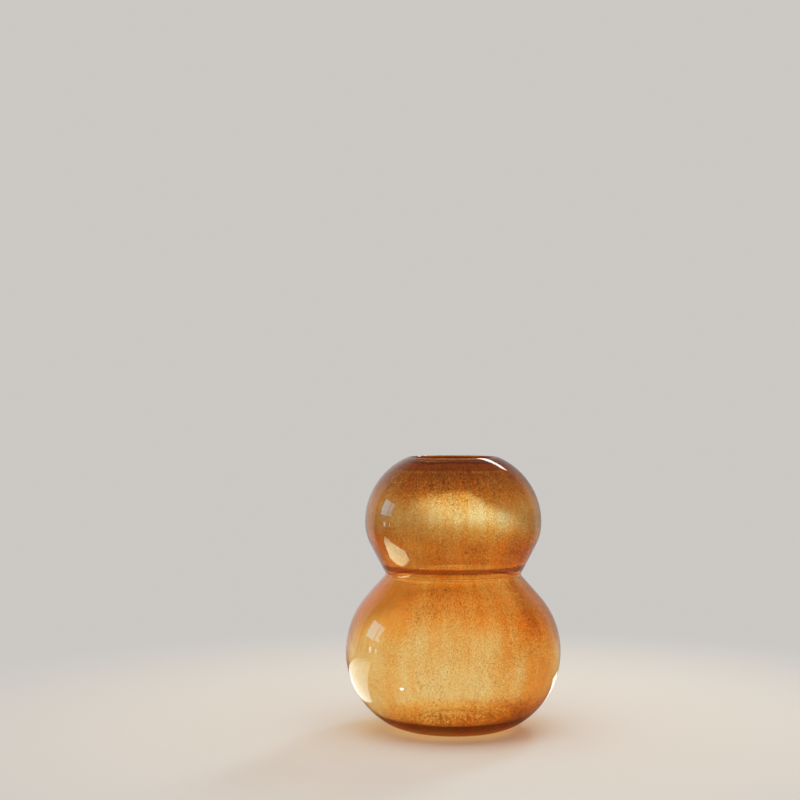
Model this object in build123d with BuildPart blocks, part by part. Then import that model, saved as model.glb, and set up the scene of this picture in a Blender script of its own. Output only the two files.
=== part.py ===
from build123d import *

import os
from math import acos, atan2, cos, degrees, hypot, radians, sin, sqrt

# A gourd vase of cased, mouth-blown glass. Three glass layers lie one inside the next and share one
# outline: a clear outer casing, a thin amber colour layer and a clear inner lining.
# The axis of the vase is Z, and Z = 0 is the surface that it stands on. All sizes are in millimetres.

# Outline of the lower bulb, which holds the water and rounds into the base
BELLY_RADIUS = 90.0
BELLY_HEIGHT = 65.0
BELLY_LOWER_ARC = 69.0
BELLY_UPPER_ARC = 68.0
BASE_ARC = 45.0

# Waist between the two bulbs, squeezed in to a round crease
NECK_RADIUS = 57.0
NECK_HEIGHT = 129.0
NECK_ARC = 2.5

# Outline of the upper bulb, which carries the mouth
BULB_RADIUS = 74.0
BULB_HEIGHT = 172.5
BULB_LOWER_ARC = 41.0
BULB_UPPER_ARC = 59.0
LIP_RING_RADIUS = 37.2

# Thickness of each glass layer, in the wall and in the heavier floor
CASING_WALL = 2.0
CASING_FLOOR = 5.0
COLOUR_WALL = 0.8
COLOUR_FLOOR = 1.2
LINING_WALL = 1.2
LINING_FLOOR = 1.8

# Hollow under the floor, so that the vase stands on a ring
PUNT_RADIUS = 28.0
PUNT_RISE = 2.5

# A face between layers is given by its depth below the outer surface and the height of its floor
OUTSIDE = (0.0, 0.0)
CASING_FACE = (CASING_WALL, CASING_FLOOR)
COLOUR_FACE = (CASING_FACE[0] + COLOUR_WALL, CASING_FACE[1] + COLOUR_FLOOR)
INSIDE = (COLOUR_FACE[0] + LINING_WALL, COLOUR_FACE[1] + LINING_FLOOR)
WALL = INSIDE[0]

# Centres of the arcs, as (distance from the axis, height)
BELLY_LOW = (BELLY_RADIUS - BELLY_LOWER_ARC, BELLY_HEIGHT)
BELLY_HIGH = (BELLY_RADIUS - BELLY_UPPER_ARC, BELLY_HEIGHT)
NECK = (NECK_RADIUS + NECK_ARC, NECK_HEIGHT)
BULB_LOW = (BULB_RADIUS - BULB_LOWER_ARC, BULB_HEIGHT)
BULB_HIGH = (BULB_RADIUS - BULB_UPPER_ARC, BULB_HEIGHT)


def polar(centre, radius, angle):
    """The point at this angle, in degrees, on a circle of the outline."""
    return (
        centre[0] + radius * cos(radians(angle)),
        centre[1] + radius * sin(radians(angle)),
    )


def angle_from(centre, point):
    """The direction from a centre to a point, in degrees."""
    return degrees(atan2(point[1] - centre[1], point[0] - centre[0]))


def crossing_tangent(bulb, bulb_arc, side):
    """The angle on the bulb's arc where a line leaves it to touch the neck's arc on its other side."""
    span = hypot(NECK[0] - bulb[0], NECK[1] - bulb[1])
    return angle_from(bulb, NECK) + side * degrees(acos((bulb_arc + NECK_ARC) / span))


# The straight flanks beside the waist are parallel at every depth, so all faces share their angles
SHOULDER_ANGLE = crossing_tangent(BELLY_HIGH, BELLY_UPPER_ARC, -1)
WAIST_ANGLE = crossing_tangent(BULB_LOW, BULB_LOWER_ARC, 1)

# The fire-polished lip is a half circle over the end of the wall, whose centre is in mid wall
LIP_MID_ARC = BULB_UPPER_ARC - WALL / 2
LIP_ANGLE = degrees(acos((LIP_RING_RADIUS - BULB_HIGH[0]) / LIP_MID_ARC))
LIP = polar(BULB_HIGH, LIP_MID_ARC, LIP_ANGLE)


def floor_centre(depth, floor):
    """Centre of the arc that rounds the floor into the belly, which it touches from inside."""
    reach = (BELLY_LOWER_ARC - depth) - (BASE_ARC - floor)
    drop = BELLY_HEIGHT - BASE_ARC
    return (BELLY_LOW[0] + sqrt(reach**2 - drop**2), BASE_ARC)


def lip_point(depth):
    """Where the face at this depth runs out on the round of the lip."""
    arc = BULB_UPPER_ARC - depth
    turn = (arc**2 + LIP_MID_ARC**2 - (WALL / 2) ** 2) / (2 * arc * LIP_MID_ARC)
    return polar(BULB_HIGH, arc, LIP_ANGLE + degrees(acos(min(turn, 1.0))))


def wall_face(depth, floor):
    """Draws the face at one depth, from the rim of its floor up to the lip."""
    base = floor_centre(depth, floor)
    base_angle = angle_from(BELLY_LOW, base)
    belly_arc = BELLY_UPPER_ARC - depth
    bulb_arc = BULB_LOWER_ARC - depth
    neck_arc = NECK_ARC + depth
    lip_angle = angle_from(BULB_HIGH, lip_point(depth))
    CenterArc(base, BASE_ARC - floor, -90, base_angle + 90)
    CenterArc(BELLY_LOW, BELLY_LOWER_ARC - depth, base_angle, -base_angle)
    CenterArc(BELLY_HIGH, belly_arc, 0, SHOULDER_ANGLE)
    Line(polar(BELLY_HIGH, belly_arc, SHOULDER_ANGLE), polar(NECK, neck_arc, SHOULDER_ANGLE + 180))
    CenterArc(NECK, neck_arc, SHOULDER_ANGLE + 180, WAIST_ANGLE - SHOULDER_ANGLE)
    Line(polar(NECK, neck_arc, WAIST_ANGLE + 180), polar(BULB_LOW, bulb_arc, WAIST_ANGLE))
    CenterArc(BULB_LOW, bulb_arc, WAIST_ANGLE, -WAIST_ANGLE)
    CenterArc(BULB_HIGH, BULB_UPPER_ARC - depth, 0, lip_angle)


def lip_round(outer_depth, inner_depth):
    """Draws the stretch of the lip's half circle between two depths."""
    start = angle_from(LIP, lip_point(outer_depth))
    end = angle_from(LIP, lip_point(inner_depth))
    CenterArc(LIP, WALL / 2, start, (end - start) % 360)


def flat_floor(depth, floor):
    """Draws the flat floor of a face, from the axis to where it rounds up."""
    Line((0, floor), (floor_centre(depth, floor)[0], floor))


with BuildPart() as clear_casing:
    with BuildSketch(Plane.XZ):
        with BuildLine():
            wall_face(*OUTSIDE)
            lip_round(OUTSIDE[0], CASING_FACE[0])
            wall_face(*CASING_FACE)
            flat_floor(*CASING_FACE)
            Line((0, CASING_FLOOR), (0, PUNT_RISE))
            punt_sphere = (PUNT_RADIUS**2 + PUNT_RISE**2) / (2 * PUNT_RISE)
            RadiusArc((0, PUNT_RISE), (PUNT_RADIUS, 0), punt_sphere)
            Line((PUNT_RADIUS, 0), (floor_centre(*OUTSIDE)[0], 0))
        make_face()
    revolve(axis=Axis.Z)

with BuildPart() as amber_layer:
    with BuildSketch(Plane.XZ):
        with BuildLine():
            wall_face(*CASING_FACE)
            lip_round(CASING_FACE[0], COLOUR_FACE[0])
            wall_face(*COLOUR_FACE)
            flat_floor(*COLOUR_FACE)
            Line((0, COLOUR_FACE[1]), (0, CASING_FACE[1]))
            flat_floor(*CASING_FACE)
        make_face()
    revolve(axis=Axis.Z)

with BuildPart() as inner_lining:
    with BuildSketch(Plane.XZ):
        with BuildLine():
            wall_face(*COLOUR_FACE)
            lip_round(COLOUR_FACE[0], INSIDE[0])
            wall_face(*INSIDE)
            flat_floor(*INSIDE)
            Line((0, INSIDE[1]), (0, COLOUR_FACE[1]))
            flat_floor(*COLOUR_FACE)
        make_face()
    revolve(axis=Axis.Z)

clear_casing.part.label = "clear_casing"
amber_layer.part.label = "amber_layer"
inner_lining.part.label = "inner_lining"

os.makedirs("parts", exist_ok=True)
for layer in (clear_casing, amber_layer, inner_lining):
    export_step(layer.part, f"parts/{layer.part.label}.step")
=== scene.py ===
from math import acos, atan2, cos, hypot, radians, sin, sqrt

import bpy
import numpy as np
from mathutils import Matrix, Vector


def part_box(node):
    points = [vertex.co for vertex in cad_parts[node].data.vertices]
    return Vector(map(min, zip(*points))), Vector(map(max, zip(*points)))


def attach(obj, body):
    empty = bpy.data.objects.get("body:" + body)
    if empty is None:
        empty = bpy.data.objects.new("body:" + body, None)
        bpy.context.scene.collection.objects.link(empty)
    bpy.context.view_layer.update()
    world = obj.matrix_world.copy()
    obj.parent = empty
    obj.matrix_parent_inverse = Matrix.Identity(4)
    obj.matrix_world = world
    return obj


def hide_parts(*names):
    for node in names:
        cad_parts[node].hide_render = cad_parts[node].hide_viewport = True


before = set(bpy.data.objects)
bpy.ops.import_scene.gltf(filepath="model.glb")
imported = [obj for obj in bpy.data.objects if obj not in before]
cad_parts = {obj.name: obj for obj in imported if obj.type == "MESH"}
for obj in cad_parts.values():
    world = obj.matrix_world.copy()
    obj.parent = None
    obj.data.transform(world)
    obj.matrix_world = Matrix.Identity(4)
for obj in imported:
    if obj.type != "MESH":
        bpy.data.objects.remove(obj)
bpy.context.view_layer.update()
scene = bpy.context.scene

# Inner lining
# The first bubble of clear glass, blown on the pipe, which the colour and the casing are gathered over.
# Its inner face is fire-polished, and its outer face is fused to the colour.

# Outline of the two bulbs, shared by every layer, in metres
BELLY_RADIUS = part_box("clear_casing")[1].x
BELLY_HEIGHT = 0.065
BELLY_LOWER_ARC = 0.069
BELLY_UPPER_ARC = 0.068
BASE_ARC = 0.045
NECK_RADIUS = 0.057
NECK_HEIGHT = 0.129
NECK_ARC = 0.0025
BULB_RADIUS = 0.074
BULB_HEIGHT = 0.1725
BULB_LOWER_ARC = 0.041
BULB_UPPER_ARC = 0.059
LIP_RING_RADIUS = 0.0372

# Depth below the outer surface and height of the floor, for each face between layers
OUTSIDE = (0.0, 0.0)
CASING_FACE = (0.002, 0.005)
COLOUR_FACE = (0.0028, 0.0062)
INSIDE = (0.004, 0.008)
WALL = INSIDE[0]

# Centres of the arcs, as (distance from the axis, height)
BELLY_LOW = (BELLY_RADIUS - BELLY_LOWER_ARC, BELLY_HEIGHT)
BELLY_HIGH = (BELLY_RADIUS - BELLY_UPPER_ARC, BELLY_HEIGHT)
NECK = (NECK_RADIUS + NECK_ARC, NECK_HEIGHT)
BULB_LOW = (BULB_RADIUS - BULB_LOWER_ARC, BULB_HEIGHT)
BULB_HIGH = (BULB_RADIUS - BULB_UPPER_ARC, BULB_HEIGHT)

# Longest step along an outline, in metres and in radians
STEP = 0.0018
TURN = radians(4)


def bearing(centre, point):
    """The angle of the line from a centre to a point."""
    return atan2(point[1] - centre[1], point[0] - centre[0])


def crossing_tangent(bulb, bulb_arc, side):
    """The angle on a bulb's arc where a straight flank leaves it and touches the neck's arc from its other
    side: the bearing of the neck, turned by the arc cosine of both radii over the distance."""
    span = hypot(NECK[0] - bulb[0], NECK[1] - bulb[1])
    return bearing(bulb, NECK) + side * acos((bulb_arc + NECK_ARC) / span)


# The straight flanks beside the waist are parallel at every depth, so all faces share their angles
SHOULDER_ANGLE = crossing_tangent(BELLY_HIGH, BELLY_UPPER_ARC, -1)
WAIST_ANGLE = crossing_tangent(BULB_LOW, BULB_LOWER_ARC, 1)

# The fire-polished lip is a half circle over the end of the wall, whose centre is in mid wall
LIP_MID_ARC = BULB_UPPER_ARC - WALL / 2
LIP_ANGLE = acos((LIP_RING_RADIUS - BULB_HIGH[0]) / LIP_MID_ARC)
LIP = (
    BULB_HIGH[0] + LIP_MID_ARC * cos(LIP_ANGLE),
    BULB_HIGH[1] + LIP_MID_ARC * sin(LIP_ANGLE),
)


def arc(centre, radius, start, end):
    """Points of an arc: the centre plus the radius times the cosine and sine of an angle that goes evenly
    from start to end."""
    turn = abs(end - start)
    steps = int(np.ceil(max(turn / TURN, turn * radius / STEP)))
    angle = np.linspace(start, end, max(steps, 1) + 1)
    return np.stack([centre[0] + radius * np.cos(angle), centre[1] + radius * np.sin(angle)], axis=1)


def line(start, end):
    """Points of a straight run between two points, without its ends."""
    steps = int(np.ceil(np.linalg.norm(np.subtract(end, start)) / STEP))
    share = np.linspace(0, 1, steps + 1)[1:-1, None]
    return np.asarray(start) * (1 - share) + np.asarray(end) * share


def floor_centre(depth, floor):
    """Centre of the arc that rounds a floor into the belly: level with the outer one, and so far out that
    the arc touches the belly's."""
    reach = (BELLY_LOWER_ARC - depth) - (BASE_ARC - floor)
    return (BELLY_LOW[0] + sqrt(reach**2 - (BELLY_HEIGHT - BASE_ARC) ** 2), BASE_ARC)


def lip_end(depth):
    """The angle about the upper bulb's centre where the face at this depth meets the half circle of the
    lip, by the law of cosines."""
    span = BULB_UPPER_ARC - depth
    turn = (span**2 + LIP_MID_ARC**2 - (WALL / 2) ** 2) / (2 * span * LIP_MID_ARC)
    return LIP_ANGLE + acos(min(turn, 1.0))


def wall_face(depth, floor):
    """Outline (radius, height) of the face at one depth, from the rim of its floor to the lip: arcs about
    the same centres as the outer surface, shorter by the depth where they bulge and longer by it at the
    neck."""
    base = floor_centre(depth, floor)
    join = bearing(BELLY_LOW, base)
    belly = arc(BELLY_HIGH, BELLY_UPPER_ARC - depth, 0, SHOULDER_ANGLE)
    crease = arc(NECK, NECK_ARC + depth, SHOULDER_ANGLE + np.pi, WAIST_ANGLE + np.pi)
    bulb = arc(BULB_LOW, BULB_LOWER_ARC - depth, WAIST_ANGLE, 0)
    return np.concatenate([
        arc(base, BASE_ARC - floor, -np.pi / 2, join),
        arc(BELLY_LOW, BELLY_LOWER_ARC - depth, join, 0)[1:],
        belly[1:],
        line(belly[-1], crease[0]),
        crease,
        line(crease[-1], bulb[0]),
        bulb,
        arc(BULB_HIGH, BULB_UPPER_ARC - depth, 0, lip_end(depth))[1:],
    ])


def flat_floor(depth, floor):
    """Points of a flat floor, from the axis to where it rounds up."""
    rim = (floor_centre(depth, floor)[0], floor)
    return np.concatenate([[(0.0, floor)], line((0.0, floor), rim)])


def lip_round(outer_depth, inner_depth):
    """The stretch of the lip's half circle between two depths, without its ends."""
    ends = [
        (
            BULB_HIGH[0] + (BULB_UPPER_ARC - depth) * cos(lip_end(depth)),
            BULB_HIGH[1] + (BULB_UPPER_ARC - depth) * sin(lip_end(depth)),
        )
        for depth in (outer_depth, inner_depth)
    ]
    start, end = [bearing(LIP, point) for point in ends]
    return arc(LIP, WALL / 2, start, start + (end - start) % (2 * np.pi))[1:-1]


SIDES = 144

# A blown wall wanders in thickness, but not at its foot or its lip
WANDER = 0.00022
WANDER_HEIGHT = 0.09
WANDER_WAVES = ((0.5, 2, 2.1, 0.0), (0.3, 3, -3.7, 1.0), (0.2, 7, 5.3, 2.0))
STEADY_FOOT = 0.01
STEADY_SPAN = 0.03

# How much of the wander each face takes
CASING_GIVE = 0.5
COLOUR_GIVE = 0.7
INSIDE_GIVE = 1.0


def wander(angle, height):
    """How much a blown wall is thicker than drawn: a few slow sine waves round the axis that drift with the
    height. Each wave has its share, its count round the axis, its drift and its start."""
    turns = height / WANDER_HEIGHT
    return WANDER * sum(
        share * np.sin(count * angle + drift * turns + start)
        for share, count, drift, start in WANDER_WAVES
    )


def turned(name, outer, lip, inner, give, materials, polished):
    """A closed layer turned about the axis: x and y are the radius times the cosine and sine of an angle in
    equal steps. The loop goes out along the outer face, over the lip and back along the inner face. give is
    how much of the wall's wander the outer and the inner face take, and polished says which of them meet
    the air."""
    loop = np.concatenate([outer, lip, inner[::-1]])
    share = np.concatenate([
        np.full(len(outer), give[0]),
        np.linspace(give[0], give[1], len(lip) + 2)[1:-1],
        np.full(len(inner), give[1]),
    ])
    below_lip = np.clip((LIP[1] - loop[:, 1]) / STEADY_SPAN, 0, 1)
    above_foot = np.clip((loop[:, 1] - STEADY_FOOT) / STEADY_SPAN, 0, 1)
    fade = below_lip * above_foot
    angle = np.linspace(0, 2 * np.pi, SIDES, endpoint=False)
    rings = loop[1:-1]
    radius = rings[:, :1] - (share * fade)[1:-1, None] * wander(angle[None, :], rings[:, 1:])
    grid = np.stack([
        radius * np.cos(angle),
        radius * np.sin(angle),
        np.repeat(rings[:, 1:], SIDES, axis=1),
    ], axis=2)
    poles = np.array([(0, 0, loop[0, 1]), (0, 0, loop[-1, 1])])
    points = np.concatenate([grid.reshape(-1, 3), poles])
    count = len(rings)
    number = np.arange(count * SIDES).reshape(count, SIDES)
    after = np.roll(number, -1, axis=1)
    quads = np.stack([number[:-1], after[:-1], after[1:], number[1:]], axis=2).reshape(-1, 4)
    first = np.stack([np.full(SIDES, count * SIDES), after[0], number[0]], axis=1)
    last = np.stack([np.full(SIDES, count * SIDES + 1), number[-1], after[-1]], axis=1)
    mesh = bpy.data.meshes.new(name)
    mesh.from_pydata(points.tolist(), [], quads.tolist() + first.tolist() + last.tolist())
    # The rings of a face that is fused to the next layer take the second material
    outer_ends = len(outer) - 1
    inner_starts = outer_ends + len(lip)
    place = np.arange(count - 1)
    inner_fused = np.where(place >= inner_starts, not polished[1], False)
    ring_fused = np.where(place < outer_ends - 1, not polished[0], inner_fused)
    slots = np.concatenate([
        np.repeat(ring_fused, SIDES),
        np.full(SIDES, not polished[0]),
        np.full(SIDES, not polished[1]),
    ])
    mesh.polygons.foreach_set("material_index", slots.astype(np.int32))
    mesh.polygons.foreach_set("use_smooth", np.ones(len(mesh.polygons), bool))
    mesh.validate()
    mesh.update()
    piece = bpy.data.objects.new(name, mesh)
    scene.collection.objects.link(piece)
    for material in materials:
        mesh.materials.append(material)
    return piece


class Signal:
    """A shader socket in an expression: sums and products of values add Math nodes to its material."""

    def __init__(self, tree, socket=None):
        self.tree = tree
        self.socket = socket

    def node(self, kind, inputs=None, output=0, **settings):
        """Adds a node of this kind with its settings, then the values or links of its inputs, which go by
        name, or by number where a node has several of one name."""
        made = self.tree.nodes.new("ShaderNode" + kind)
        for name, value in settings.items():
            setattr(made, name, value)
        for key, value in (inputs or {}).items():
            if isinstance(value, Signal):
                self.tree.links.new(value.socket, made.inputs[key])
            else:
                made.inputs[key].default_value = value
        return Signal(self.tree, made.outputs[output] if made.outputs else None)

    def out(self, name):
        """Another output of the node that this signal comes from."""
        return Signal(self.tree, self.socket.node.outputs[name])

    def __add__(self, other):
        return self.node("Math", {0: self, 1: other}, operation="ADD")

    def __sub__(self, other):
        return self.node("Math", {0: self, 1: other}, operation="SUBTRACT")

    def __rsub__(self, other):
        return self.node("Math", {0: other, 1: self}, operation="SUBTRACT")

    def __mul__(self, other):
        return self.node("Math", {0: self, 1: other}, operation="MULTIPLY")

    __radd__ = __add__
    __rmul__ = __mul__


def new_material(name):
    """An empty material and the signal that starts its expressions."""
    material = bpy.data.materials.new(name)
    material.use_nodes = True
    material.node_tree.nodes.clear()
    return material, Signal(material.node_tree)


def step_between(value, low, high):
    """A soft step that rises from 0 to 1 as the value goes from low to high."""
    return value.node(
        "MapRange",
        {"Value": value, "From Min": low, "From Max": high},
        interpolation_type="SMOOTHSTEP",
    )


def band(value, begins, full, fades, ends):
    """A soft band: it rises from 0 to 1 between begins and full, and falls back between fades and ends."""
    return step_between(value, begins, full) * (1 - step_between(value, fades, ends))


def mix_colour(factor, first, second):
    """The colour between two colours at this factor."""
    return factor.node("Mix", {0: factor, 6: first, 7: second}, output=2, data_type="RGBA")


def mix_shader(root, factor, first, second):
    """The shader between two shaders at this factor."""
    return root.node("MixShader", {0: factor, 1: first, 2: second})


WHITE = (1, 1, 1, 1)


def film(root, colour):
    """A face that only colours the light that goes through it."""
    return root.node("BsdfTransparent", {"Color": colour})


# Where the colour changes along the wall: heights at which a zone begins, is full, fades and ends
SHOULDER_HEIGHTS = (0.055, 0.118, 0.133, 0.142)
UNDER_CREASE_HEIGHTS = (0.12, 0.125, 0.1305, 0.133)
CREASE_SHADE_HEIGHTS = (0.133, 0.1355, 0.1375, 0.1395)
EQUATOR_HEIGHTS = (0.156, 0.172, 0.18, 0.2)
COLLAR_LINE_HEIGHTS = (0.2145, 0.2155, 0.2155, 0.2162)
DUSKY_HEIGHTS = (0.137, 0.144, 0.175, 0.195)
BULB_FOOT_HEIGHTS = (0.137, 0.142, 0.15, 0.162)
THICK_HEIGHTS = (0.0, 0.05, 0.08, 0.112)
THIN_HEIGHTS = (0.075, 0.1, 0.124, 0.133)
RUST_HEIGHTS = (0.078, 0.1, 0.12, 0.131)

# Heights between which a zone with one edge begins or ends
FLOOR_EDGE = (0.0062, 0.0085)
BASE_FOOT = (0.0062, 0.0095)
BASE_TOP = (0.0015, 0.027)
UPPER_BULB_EDGE = (0.131, 0.144)
LIP_EDGE = (0.18, 0.222)
COLLAR_EDGE = (0.2158, 0.2166)

# How steeply the upper edge of the base zone tilts, from side to side and from front to back
BASE_TILT_ACROSS = 0.08
BASE_TILT_BACK = 0.2

# Edges of zones across the vase, in metres, and round it from the front, in radians
FRONT_EDGE = (-0.03, 0.02)
DUSKY_EDGE = (0.036, 0.066)
BULB_FOOT_EDGE = (-0.02, 0.03)
THICK_ACROSS = (0.02, 0.06, 0.07, 0.088)
THIN_EDGE = (-0.06, -0.02)
RUST_ROUND = (0.68, 0.84, 0.88, 1.05)


def zones(root):
    """Soft masks over the wall, as a dictionary: places where the glass lies thicker or thinner, each a
    product of steps and bands in the height, across the vase or round it. The crease mask is painted shade,
    a dark band just above the waist on the front, and the equator mask is a paler band that is partly a
    painted patch of light."""
    parts = root.node("SeparateXYZ", {0: root.node("TexCoord", output="Object")})
    x, y, z = parts.out("X"), parts.out("Y"), parts.out("Z")
    front = 1 - step_between(y, *FRONT_EDGE)
    across = root.node("Math", {0: x}, operation="ABSOLUTE")
    turn = root.node("Math", {0: x, 1: 0 - y}, operation="ARCTAN2")
    base_height = z + y * BASE_TILT_BACK - x * BASE_TILT_ACROSS
    return {
        "floor": 1 - step_between(z, *FLOOR_EDGE),
        "base": (1 - step_between(base_height, *BASE_TOP)) * step_between(z, *BASE_FOOT),
        "thick side": band(x, *THICK_ACROSS) * band(z, *THICK_HEIGHTS),
        "thin side": (1 - step_between(x, *THIN_EDGE)) * band(z, *THIN_HEIGHTS),
        "shoulder": band(z, *SHOULDER_HEIGHTS),
        "rust streak": band(turn, *RUST_ROUND) * band(z, *RUST_HEIGHTS),
        "under crease": band(z, *UNDER_CREASE_HEIGHTS),
        # The crease mask is painted shade: a dark band just above the waist, on the front half only
        "crease": band(z, *CREASE_SHADE_HEIGHTS) * front,
        "upper bulb": step_between(z, *UPPER_BULB_EDGE),
        "bulb foot": step_between(x, *BULB_FOOT_EDGE) * band(z, *BULB_FOOT_HEIGHTS),
        "dusky side": step_between(across, *DUSKY_EDGE) * band(z, *DUSKY_HEIGHTS),
        # The equator band is partly thinner colour and partly a painted patch of light round the upper bulb's
        # middle
        "equator": band(z, *EQUATOR_HEIGHTS),
        "lip": step_between(z, *LIP_EDGE),
        "collar line": band(z, *COLLAR_LINE_HEIGHTS),
        "collar": step_between(z, *COLLAR_EDGE),
    }


def summed(zone, shares):
    """The sum of each zone's mask times its share."""
    return sum(zone[name] * share for name, share in shares.items())


# Patterns follow the wall on a column of one width, and keep their own shape on the flat floor
COLUMN_RADIUS = 0.07
FLAT_EDGE = (0.0084, 0.0088)


def drawn_out(root, stretch):
    """Object coordinates on a column of one width, squeezed along the axis, so that a pattern on them gets
    wider with the bulbs and is drawn out along the wall, as the glass was. On the floor they stay as they
    are."""
    place = root.node("TexCoord", output="Object")
    parts = root.node("SeparateXYZ", {0: place})
    level = root.node("CombineXYZ", {0: parts.out("X"), 1: parts.out("Y")})
    way = root.node("VectorMath", {0: level}, operation="NORMALIZE")
    column = root.node("VectorMath", {0: way, "Scale": COLUMN_RADIUS}, operation="SCALE")
    rise = root.node("CombineXYZ", {2: parts.out("Z") * stretch})
    on_wall = root.node("VectorMath", {0: column, 1: rise}, operation="ADD")
    on_floor = 1 - step_between(parts.out("Z"), *FLAT_EDGE)
    return root.node("Mix", {0: on_floor, 4: on_wall, 5: place}, output=1, data_type="VECTOR")


# How much each zone deepens the amber, and how strong its clouds and streaks are
DEPTH_SHARES = {
    "shoulder": 0.72,
    "upper bulb": 0.62,
    # equator pales the amber where a painted patch of light lies round the upper bulb's middle
    "equator": -0.36,
    "lip": -0.2,
    # crease deepens the band of painted shade above the waist
    "crease": 0.7,
    "under crease": -0.25,
    "collar": 0.3,
    "collar line": -0.4,
    "base": 0.6,
    "floor": 0.3,
    "bulb foot": 0.25,
    "dusky side": 0.1,
    "thick side": 0.46,
    "rust streak": 0.35,
}
NOISE_MEAN = 0.5
CLOUD_SCALE = 24.0
CLOUD_SHARE = 1.1
STREAK_SCALE = 130.0
STREAK_STRETCH = 0.12
STREAK_SHARE = 0.9


def colour_depth(root):
    """How deep the amber is, from 0 to 1: the glass was blown out most at the belly, so the colour is thin
    there, and it gets deeper up the shoulder and down to the base. It lies a little thicker on one side,
    with slow clouds and with streaks that run down the wall. A dark band just above the waist on the front
    is painted shade, and the paler band round the upper bulb's middle is partly thinner colour and partly a
    painted patch of light."""
    place = root.node("TexCoord", output="Object")
    cloud = root.node("TexNoise", {"Vector": place, "Scale": CLOUD_SCALE, "Detail": 3.0, "Roughness": 0.5})
    streak = root.node("TexNoise", {
        "Vector": drawn_out(root, STREAK_STRETCH),
        "Scale": STREAK_SCALE,
        "Detail": 2.0,
    })
    depth = (
        summed(zones(root), DEPTH_SHARES)
        + (cloud - NOISE_MEAN) * CLOUD_SHARE
        + (streak - NOISE_MEAN) * STREAK_SHARE
    )
    return root.node("Clamp", {"Value": depth})


def let_light_in(root, shader):
    """Light that goes to or comes from a dull surface passes the polished face straight, so that lamps light
    what is inside and under the glass."""
    path = root.node("LightPath")
    clear = film(root, WHITE)
    lamps_pass = mix_shader(root, path.out("Is Shadow Ray"), shader, clear)
    return mix_shader(root, path.out("Is Diffuse Ray"), lamps_pass, clear)


GLASS_IOR = 1.5
LINING_TINT = (1.0, 0.985, 0.93, 1)
LINING_DEEP_TINT = (0.985, 0.82, 0.55, 1)


def lining_glass():
    """Fire-polished inner face: clear glass with a breath of the colour behind it."""
    material, root = new_material("lining_glass")
    glass = root.node("BsdfPrincipled", {
        "Base Color": mix_colour(colour_depth(root), LINING_TINT, LINING_DEEP_TINT),
        "Roughness": 0.05,
        "IOR": GLASS_IOR,
        "Transmission Weight": 1.0,
    })
    root.node("OutputMaterial", {"Surface": let_light_in(root, glass)})
    return material


def fused_face():
    """Where two layers of glass melted into one there is no face to see."""
    material, root = new_material("fused_face")
    root.node("OutputMaterial", {"Surface": film(root, WHITE)})
    return material


# Fused faces stand a hair apart, so that a ray meets one at a time
HAIR = 0.00003
fused = fused_face()
lining_outer = (COLOUR_FACE[0] + HAIR, COLOUR_FACE[1] + HAIR)
lining = turned(
    "inner_lining_glass",
    outer=np.concatenate([flat_floor(*lining_outer), wall_face(*lining_outer)]),
    lip=lip_round(lining_outer[0], INSIDE[0]),
    inner=np.concatenate([flat_floor(*INSIDE), wall_face(*INSIDE)]),
    give=(COLOUR_GIVE, INSIDE_GIVE),
    materials=(lining_glass(), fused),
    polished=(False, True),
)
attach(lining, "root")
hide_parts("inner_lining")

# Colour layer
# Amber glass powder that the hot bubble was rolled in. It melted into a thin cloudy skin with fine specks,
# drawn out along the wall as the bubble grew, and it is fused between the lining and the casing.

CLEAR_AMBER = (0.97, 0.925, 0.8, 1)
DEEP_AMBER = (0.985, 0.755, 0.42, 1)
SPECK_AMBER = (0.92, 0.7, 0.38, 1)
SPECK_BROWN = (0.6, 0.38, 0.24, 1)
SPOT_BROWN = (0.64, 0.38, 0.16, 1)
GOLD = (0.95, 0.62, 0.16, 1)
RUST = (0.4, 0.15, 0.03, 1)

# Fine specks and larger spots: how many to the metre, how their sizes differ, and how soft their edges are
SPECK_STRETCH = 0.75
FINE_SCALE = 1350.0
FINE_SIZES = (0.1, 0.5)
FINE_EDGE = (-0.15, 0.3)
LARGE_SCALE = 520.0
LARGE_SIZES = (-0.55, 0.2)
LARGE_EDGE = (-0.05, 0.15)

# How much each zone crowds the specks, and the patches in which they lie closer
CROWD_SHARES = {
    "upper bulb": 0.08,
    "shoulder": 0.04,
    "lip": 0.32,
    "base": 0.32,
    "floor": -0.25,
    "bulb foot": 0.12,
    "dusky side": 0.14,
    "thick side": 0.05,
    "thin side": -0.15,
    # crease crowds specks into the band of painted shade above the waist
    "crease": 0.55,
    "rust streak": 0.2,
    "collar": 0.1,
    "collar line": -0.2,
}
CROWD_LESS = 0.04
PATCH_SCALE = 60.0
PATCH_STRETCH = 0.5
PATCH_SHARE = 0.5

# How strongly the specks colour the light, everywhere and in each zone
STRENGTH = 0.55
# crease strengthens the specks in the band of painted shade above the waist
# equator weakens the specks in the painted patch of light round the upper bulb's middle
STRENGTH_SHARES = {"shoulder": 0.22, "base": 0.22, "lip": 0.22, "crease": 0.22, "equator": -0.22}

# How far each zone turns the specks from amber to brown
BROWN_SHARES = {
    "shoulder": 0.3,
    "thick side": 0.45,
    "thin side": -0.3,
    "upper bulb": 0.45,
    "bulb foot": 0.2,
    "dusky side": 0.45,
    "lip": 0.5,
    "base": 1.0,
    # crease turns the specks brown in the band of painted shade above the waist
    "crease": 0.8,
    "rust streak": 0.3,
}

# Share of the light that the skin scatters, between specks and on them, and how much of that goes through
HAZE = 0.015
SPECK_HAZE = 0.06
HAZE_THROUGH = 0.6


def grains(root, scale, least, most):
    """Round grains of unequal size, below 0 in their middle: the distance to the nearest of scattered
    points, less a size between least and most that is drawn for each point."""
    cell = root.node(
        "TexVoronoi", {"Vector": drawn_out(root, SPECK_STRETCH), "Scale": scale}, output="Distance"
    )
    size = root.node("SeparateColor", {0: cell.out("Color")}, output="Red")
    return cell - size * (most - least) - least


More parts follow.
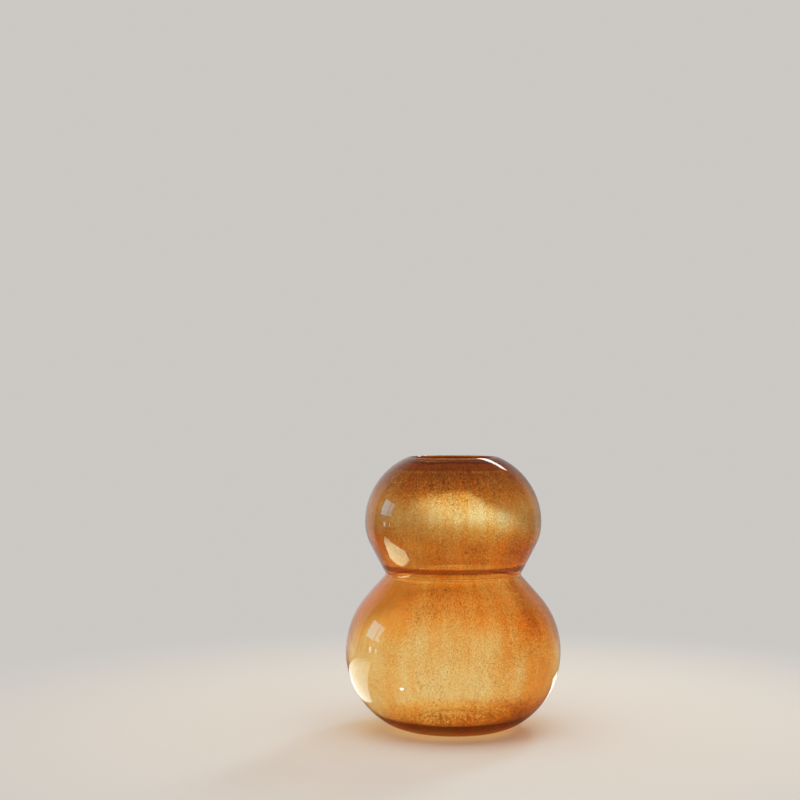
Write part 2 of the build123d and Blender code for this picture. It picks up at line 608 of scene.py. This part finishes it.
def speckled(root, zone):
    """How much of the light meets fine specks, and how much meets larger spots, each from 0 to 1. There are
    more of them in some patches and towards the lip and the base, where the powder was blown out least, and
    they are stronger where the glass is thick."""
    patches = root.node("TexNoise", {
        "Vector": drawn_out(root, PATCH_STRETCH),
        "Scale": PATCH_SCALE,
        "Detail": 2.0,
    })
    crowd = summed(zone, CROWD_SHARES) + (patches - NOISE_MEAN) * PATCH_SHARE - CROWD_LESS
    fine = 1 - step_between(grains(root, FINE_SCALE, *FINE_SIZES) - crowd, *FINE_EDGE)
    large = 1 - step_between(grains(root, LARGE_SCALE, *LARGE_SIZES) - crowd, *LARGE_EDGE)
    strength = summed(zone, STRENGTH_SHARES) + STRENGTH
    return fine * strength, large * strength


def amber_skin():
    """The cloudy skin: a clear amber film, pale where the glass was blown thin and deep where it stayed
    thick, with specks from amber to brown and larger brown spots. Its dark band just above the waist on the
    front is painted shade, and its paler band round the upper bulb's middle is partly thinner colour and
    partly a painted patch of light. A little of it scatters light like gold dust."""
    material, root = new_material("amber_skin")
    zone = zones(root)
    specks, spots = speckled(root, zone)
    amber_film = mix_shader(root, colour_depth(root), film(root, CLEAR_AMBER), film(root, DEEP_AMBER))
    powder = mix_shader(
        root, summed(zone, BROWN_SHARES), film(root, SPECK_AMBER), film(root, SPECK_BROWN)
    )
    grained = mix_shader(root, specks, amber_film, powder)
    spotted = mix_shader(root, spots, grained, film(root, SPOT_BROWN))
    dust = root.node("BsdfPrincipled", {
        "Base Color": mix_colour(specks, GOLD, RUST),
        "Roughness": 0.9,
        "Specular IOR Level": 0.0,
    })
    cloud = mix_shader(root, HAZE_THROUGH, dust, root.node("BsdfTranslucent", {"Color": GOLD}))
    skin = mix_shader(root, specks * SPECK_HAZE + HAZE, spotted, cloud)
    root.node("OutputMaterial", {"Surface": skin})
    return material


amber = turned(
    "amber_colour_layer",
    outer=np.concatenate([flat_floor(*CASING_FACE), wall_face(*CASING_FACE)]),
    lip=lip_round(CASING_FACE[0], COLOUR_FACE[0]),
    inner=np.concatenate([flat_floor(*COLOUR_FACE), wall_face(*COLOUR_FACE)]),
    give=(CASING_GIVE, COLOUR_GIVE),
    materials=(amber_skin(),),
    polished=(True, True),
)
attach(amber, "root")
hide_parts("amber_layer")

# Clear casing
# The last gather of clear glass, over the colour, which gives the vase its depth and its wet gloss. It is
# heavy in the floor, where it is pressed hollow so that the vase stands on a ring.

PUNT_RADIUS = 0.028
PUNT_RISE = 0.0025
PUNT_EDGE = (PUNT_RADIUS - 0.0005, PUNT_RADIUS)
CASING_TINT = (0.985, 0.93, 0.74, 1)
CASING_DEEP_TINT = (0.985, 0.68, 0.32, 1)


def hollow_floor():
    """The underside from the axis to the rim of the standing ring: a shallow spherical hollow, whose radius
    is the sum of the squares of its width and rise over twice the rise, then the flat ring."""
    sphere = (PUNT_RADIUS**2 + PUNT_RISE**2) / (2 * PUNT_RISE)
    top = np.pi / 2
    edge = acos(PUNT_RADIUS / sphere)
    hollow = arc((0.0, PUNT_RISE - sphere), sphere, top, edge)
    rim = (floor_centre(*OUTSIDE)[0], 0.0)
    return np.concatenate([hollow, line(hollow[-1], rim)])


def casing_glass():
    """Fire-polished outer face: clear glass with a faint slow ripple. Within the hollow under the floor it
    doesn't bend the light, so that no mirror image of the hollow shows in the base."""
    material, root = new_material("casing_glass")
    place = root.node("TexCoord", output="Object")
    ripple = root.node("TexNoise", {"Vector": place, "Scale": 22.0, "Detail": 1.0})
    bump = root.node("Bump", {"Strength": 0.25, "Distance": 0.002, "Height": ripple})
    glass = root.node("BsdfPrincipled", {
        "Base Color": mix_colour(colour_depth(root), CASING_TINT, CASING_DEEP_TINT),
        "Roughness": 0.02,
        "IOR": GLASS_IOR,
        "Transmission Weight": 1.0,
        "Normal": bump,
    })
    parts = root.node("SeparateXYZ", {0: place})
    level = root.node("CombineXYZ", {0: parts.out("X"), 1: parts.out("Y")})
    radius = root.node("VectorMath", {0: level}, output="Value", operation="LENGTH")
    in_hollow = 1 - step_between(radius, *PUNT_EDGE)
    glass = mix_shader(root, in_hollow, glass, film(root, WHITE))
    root.node("OutputMaterial", {"Surface": let_light_in(root, glass)})
    return material


casing_inner = (CASING_FACE[0] - HAIR, CASING_FACE[1] - HAIR)
casing = turned(
    "clear_casing_glass",
    outer=np.concatenate([hollow_floor(), wall_face(*OUTSIDE)]),
    lip=lip_round(OUTSIDE[0], casing_inner[0]),
    inner=np.concatenate([flat_floor(*casing_inner), wall_face(*casing_inner)]),
    give=(0.0, CASING_GIVE),
    materials=(casing_glass(), fused),
    polished=(True, False),
)
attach(casing, "root")
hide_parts("clear_casing")

# Floor
# A plain pale floor round the vase, painted dull, which fades into the backdrop with the distance.
# Glass shows it with a painted pool of light behind the vase, and mirrors painted highlight patches and a
# painted glint that glow on it.

FLOOR_RADIUS = 6.0
FLOOR_SIDES = 96
FLOOR_DROP = 0.0002
FLOOR_COLOUR = (0.8, 0.75, 0.69, 1)
BACKDROP = (0.6, 0.58, 0.555, 1)
FADE_EDGE = (0.22, 0.62)

# What shows through the glass: a painted warm glow under the vase, a painted pool of light behind it and a
# painted cool glow further off
UNDER_VASE_GLOW = (1.02, 0.8, 0.4, 1)
UNDER_EDGE = (0.035, 0.1)
BACKLIT = (0.94, 0.9, 0.86, 1)
BACKLIT_FAR = (0.56, 0.54, 0.515, 1)
POOL_EDGE = (0.7, 1.5)
GLOW = (1.12, 1.66, 2.8, 1)
GLOW_PLACE = (0.17, 3.5, 0.0)
GLOW_REACH = (0.26, 2.6, 1.0)
GLOW_SLANT = 0.6
GLOW_EDGE = (0.3, 1.15)

# What the glass mirrors: the backdrop behind, dim ground in front, painted highlight patches by their edges
# in x and y, and a painted glint
MIRRORED_BACKDROP = (0.67, 0.65, 0.63, 1)
DIM_FRONT = (0.12, 0.115, 0.11, 1)
FLOOR_MIRRORED = (0.36, 0.25, 0.18, 1)
UPPER_HIGHLIGHT = (0.79, 1.0, 0.61, 1)
UPPER_HIGHLIGHT_GLOW = 5.6
UPPER_HIGHLIGHT_FRONT = (-0.125, 1.0)
UPPER_HIGHLIGHT_FRONT_SLOPE = 0.37
UPPER_HIGHLIGHT_BACK = (-1.0, 0.09)
UPPER_HIGHLIGHT_SIDE = (0.197, 0.6)
UPPER_HIGHLIGHT_SIDE_SLOPE = 0.454
LOWER_HIGHLIGHT = (0.92, 1.0, 0.92, 1)
LOWER_HIGHLIGHT_GLOW = 2.0
LEFT_HIGHLIGHT_X = (-0.6, -0.097)
LEFT_HIGHLIGHT_Y = (-0.01, 0.2)
RIGHT_HIGHLIGHT_X = (0.08, 0.16)
RIGHT_HIGHLIGHT_Y = (0.085, 0.2)
HIGHLIGHT_EDGE = 0.005
SPARK_PLACE = (-0.097, -0.099, -0.0002)
SPARK_EDGE = (0.001, 0.0065)
SPARK_GLOW = 40.0

# The left flank of the vase, and the squared height above which a mirroring point is on the upper bulb
FLANK_PLACE = (-0.06, -0.04, 0.0)
UPPER_SQUARE = (0.006, 0.012)

# Where the mirrored backdrop begins, by the parts of a direction: to the right, to the back and upwards
RIGHT_EDGE = (-0.3, 0.3)
LEFT_BACK_EDGE = (0.53, 0.6)
RIGHT_BACK_EDGE = (0.5, 0.75)
RIGHT_BACK_SHARE = 0.5
RISE_EDGE = (0.3, 0.75)


def disc(name, radius, sides):
    """A flat disc just under the vase: one point in the middle and the rim at equal angles."""
    angle = np.linspace(0, 2 * np.pi, sides, endpoint=False)
    rim = np.stack([radius * np.cos(angle), radius * np.sin(angle), np.full(sides, -FLOOR_DROP)], axis=1)
    number = np.arange(sides)
    faces = np.stack([np.full(sides, sides), number, np.roll(number, -1)], axis=1)
    mesh = bpy.data.meshes.new(name)
    mesh.from_pydata([*rim.tolist(), (0, 0, -FLOOR_DROP)], [], faces.tolist())
    piece = bpy.data.objects.new(name, mesh)
    scene.collection.objects.link(piece)
    return piece


def lit(root, colour, strength=1.0):
    """A face that shines in this colour."""
    return root.node("Emission", {"Color": colour, "Strength": strength})


def mirror_share(way):
    """How much of the backdrop a mirror shows in a direction: all of it behind the vase on the left, half on
    the right, and none in front or above."""
    parts = way.node("SeparateXYZ", {0: way})
    back, rise = parts.out("Y"), parts.out("Z")
    right = step_between(parts.out("X"), *RIGHT_EDGE)
    left_back = step_between(back, *LEFT_BACK_EDGE) * (1 - right)
    right_back = step_between(back, *RIGHT_BACK_EDGE) * right * RIGHT_BACK_SHARE
    return (left_back + right_back) * (1 - step_between(rise, *RISE_EDGE))


def inside(value, low, high):
    """1 between two edges and 0 outside them."""
    return band(value, low, low + HIGHLIGHT_EDGE, high, high + HIGHLIGHT_EDGE)


def through_glass(path):
    """1 for a ray that has just left clear glass, and 0 for any other. A refracted ray also counts as
    glossy."""
    return path.out("Is Transmission Ray") * (1 - path.out("Is Diffuse Ray"))


def distance_from(root, place, point):
    """The distance of a place from a point."""
    return root.node("VectorMath", {0: place, 1: point}, output="Value", operation="DISTANCE")


def mirrored_floor(root, path, place):
    """The floor as glass mirrors it: painted darker, with a glowing patch on the left that is a painted
    highlight for the upper bulb, and one on either side and a small spark, a painted glint, for the lower
    one. The bulb follows from the squared height of the mirroring point, which is the ray's length squared
    less the level distance to the flank squared."""
    parts = root.node("SeparateXYZ", {0: place})
    x, y = parts.out("X"), parts.out("Y")
    level = distance_from(root, place, FLANK_PLACE)
    length = path.out("Ray Length")
    upper = step_between(length * length - level * level, *UPPER_SQUARE)
    # Glowing patches that are painted highlights, seen only where the glass mirrors the floor
    upper_highlight = (
        inside(y + x * UPPER_HIGHLIGHT_FRONT_SLOPE, *UPPER_HIGHLIGHT_FRONT)
        * inside(y, *UPPER_HIGHLIGHT_BACK)
        * inside(0 - x - y * UPPER_HIGHLIGHT_SIDE_SLOPE, *UPPER_HIGHLIGHT_SIDE)
    )
    left_highlight = inside(y, *LEFT_HIGHLIGHT_Y) * inside(x, *LEFT_HIGHLIGHT_X)
    right_highlight = inside(x, *RIGHT_HIGHLIGHT_X) * inside(y, *RIGHT_HIGHLIGHT_Y)
    # The spark is a painted glint on the lower bulb
    spark = 1 - step_between(distance_from(root, place, SPARK_PLACE), *SPARK_EDGE)
    ground = root.node("BsdfDiffuse", {"Color": FLOOR_MIRRORED})
    ground = mix_shader(root, upper_highlight * upper, ground, lit(root, UPPER_HIGHLIGHT, UPPER_HIGHLIGHT_GLOW))
    lower_highlights = (left_highlight + right_highlight) * (1 - upper)
    ground = mix_shader(root, lower_highlights, ground, lit(root, LOWER_HIGHLIGHT, LOWER_HIGHLIGHT_GLOW))
    return mix_shader(root, spark * (1 - upper), ground, lit(root, LOWER_HIGHLIGHT, SPARK_GLOW))


def floor_behind_glass(root, place, distance):
    """The floor as it shows through glass: a painted warm glow under the vase, a painted pool of light round
    it that fades with the distance, and a painted slanted elliptical glow further off, by the length of the
    offset over its reach."""
    offset = root.node("VectorMath", {0: place, 1: GLOW_PLACE}, operation="SUBTRACT")
    shift = root.node("SeparateXYZ", {0: offset}, output="X") * GLOW_SLANT
    slanted = root.node(
        "VectorMath", {0: offset, 1: root.node("CombineXYZ", {1: shift})}, operation="ADD"
    )
    scaled = root.node("VectorMath", {0: slanted, 1: GLOW_REACH}, operation="DIVIDE")
    glow_distance = root.node("VectorMath", {0: scaled}, output="Value", operation="LENGTH")
    pool = mix_shader(
        root, step_between(distance, *POOL_EDGE), lit(root, BACKLIT), lit(root, BACKLIT_FAR)
    )
    pool = mix_shader(root, step_between(distance, *UNDER_EDGE), lit(root, UNDER_VASE_GLOW), pool)
    return mix_shader(root, step_between(glow_distance, *GLOW_EDGE), lit(root, GLOW), pool)


def floor_finish():
    """Dull pale paint near the vase, and the backdrop's own brightness far from it. Through glass it shows a
    painted pool of light and glow, and in glass it mirrors a painted darker floor with painted highlights."""
    material, root = new_material("floor")
    path = root.node("LightPath")
    place = root.node("TexCoord", output="Object")
    distance = root.node("VectorMath", {0: place}, output="Value", operation="LENGTH")
    way = root.node("VectorMath", {0: place}, operation="NORMALIZE")
    seen_through = through_glass(path)
    mirrored = path.out("Is Glossy Ray") * (1 - seen_through)
    paint = root.node("BsdfDiffuse", {"Color": FLOOR_COLOUR})
    near = mix_shader(root, mirrored, paint, mirrored_floor(root, path, place))
    mirrored_far = mix_shader(root, mirror_share(way), lit(root, DIM_FRONT), lit(root, MIRRORED_BACKDROP))
    far = mix_shader(root, mirrored, lit(root, BACKDROP), mirrored_far)
    far = mix_shader(root, seen_through, far, floor_behind_glass(root, place, distance))
    farness = step_between(distance, *FADE_EDGE)
    farness = root.node("Math", {0: farness, 1: seen_through}, operation="MAXIMUM")
    root.node("OutputMaterial", {"Surface": mix_shader(root, farness, near, far)})
    return material


floor_disc = disc("floor", FLOOR_RADIUS, FLOOR_SIDES)
floor_disc.data.materials.append(floor_finish())

# Light
# Two cool panes of soft light on the left, with a small glint under each, a wide soft light above, a warm one
# behind on the right that shines through the glass, and a strip there that only shows as a highlight.

LAMP_AIM = (0, 0, 0.12)
PANE_LIGHT = (0.22, 0.7, 1.0)
GLINT_LIGHT = (0.6, 0.85, 1.0)
WARM_LIGHT = (1.0, 0.95, 0.86)


def soft_light(name, place, size, power, colour=(1, 1, 1)):
    """A rectangular lamp at this place, turned to the middle of the vase."""
    lamp = bpy.data.lights.new(name, "AREA")
    lamp.shape = "RECTANGLE"
    lamp.size, lamp.size_y = size
    lamp.energy = power
    lamp.color = colour
    holder = bpy.data.objects.new(name, lamp)
    aim = np.subtract(LAMP_AIM, place)
    level = hypot(aim[0], aim[1])
    holder.rotation_euler = (np.pi / 2 + atan2(aim[2], level), 0, atan2(aim[1], aim[0]) - np.pi / 2)
    holder.location = place
    holder.visible_camera = False
    holder.visible_transmission = False
    scene.collection.objects.link(holder)
    return holder


panes = [
    soft_light("wide_pane", place=(-1.5, 0.33, 0.57), size=(0.37, 0.43), power=1.9, colour=PANE_LIGHT),
    soft_light("narrow_pane", place=(-1.5, 0.03, 0.57), size=(0.17, 0.43), power=0.65, colour=PANE_LIGHT),
    soft_light("wide_glint", place=(-1.5, 0.22, 0.1), size=(0.1, 0.15), power=0.2, colour=GLINT_LIGHT),
    soft_light("narrow_glint", place=(-1.5, -0.02, 0.1), size=(0.04, 0.12), power=0.06, colour=GLINT_LIGHT),
]
for pane in panes:
    pane.visible_diffuse = False
overhead = soft_light("overhead", place=(0.0, -0.15, 1.5), size=(1.0, 1.0), power=7)
overhead.visible_glossy = False
behind = soft_light("behind", place=(0.63, 1.15, 1.27), size=(0.26, 0.5), power=8, colour=WARM_LIGHT)
behind.visible_glossy = False
strip = soft_light("strip", place=(0.51, 1.26, 1.24), size=(0.8, 0.16), power=2.6)
strip.visible_diffuse = False

# Even light from all round, and the backdrop where a look past the floor or a mirrored one goes
AMBIENT = (1.0, 0.98, 0.95, 1)
AMBIENT_STRENGTH = 0.5
world = bpy.data.worlds.new("studio")
world.use_nodes = True
world.node_tree.nodes.clear()
studio = Signal(world.node_tree)
path = studio.node("LightPath")
ambient = studio.node("Background", {"Color": AMBIENT, "Strength": AMBIENT_STRENGTH})
backdrop = studio.node("Background", {"Color": BACKDROP})
behind_glass = studio.node("Background", {"Color": BACKLIT_FAR})
mirrored = mix_shader(
    studio,
    mirror_share(studio.node("TexCoord", output="Generated")),
    studio.node("Background", {"Color": DIM_FRONT}),
    studio.node("Background", {"Color": MIRRORED_BACKDROP}),
)
light = mix_shader(studio, path.out("Is Camera Ray"), ambient, backdrop)
light = mix_shader(studio, path.out("Is Glossy Ray"), light, mirrored)
light = mix_shader(studio, through_glass(path), light, behind_glass)
studio.node("OutputWorld", {"Surface": light})
scene.world = world
scene.view_settings.view_transform = "Standard"

# Camera
# It stands level, a little left of the vase, so that the vase is right of the middle and low in the picture.

CAMERA_PLACE = (-0.0445, -1.35, 0.2747)
FOCAL_PIXELS = 1607
PICTURE_PIXELS = 800
SENSOR_WIDTH = 36
camera = bpy.data.objects.new("camera", bpy.data.cameras.new("camera"))
camera.data.sensor_width = SENSOR_WIDTH
camera.data.lens = FOCAL_PIXELS / PICTURE_PIXELS * SENSOR_WIDTH
camera.location = CAMERA_PLACE
camera.rotation_euler = (np.pi / 2, 0, 0)
scene.collection.objects.link(camera)
scene.camera = camera

# Many thin layers lie one behind the other, and light that runs inside the heavy floor crosses them again
# and again
scene.cycles.transparent_max_bounces = 128
scene.cycles.max_bounces = 24
scene.cycles.transmission_bounces = 24
scene.cycles.glossy_bounces = 16
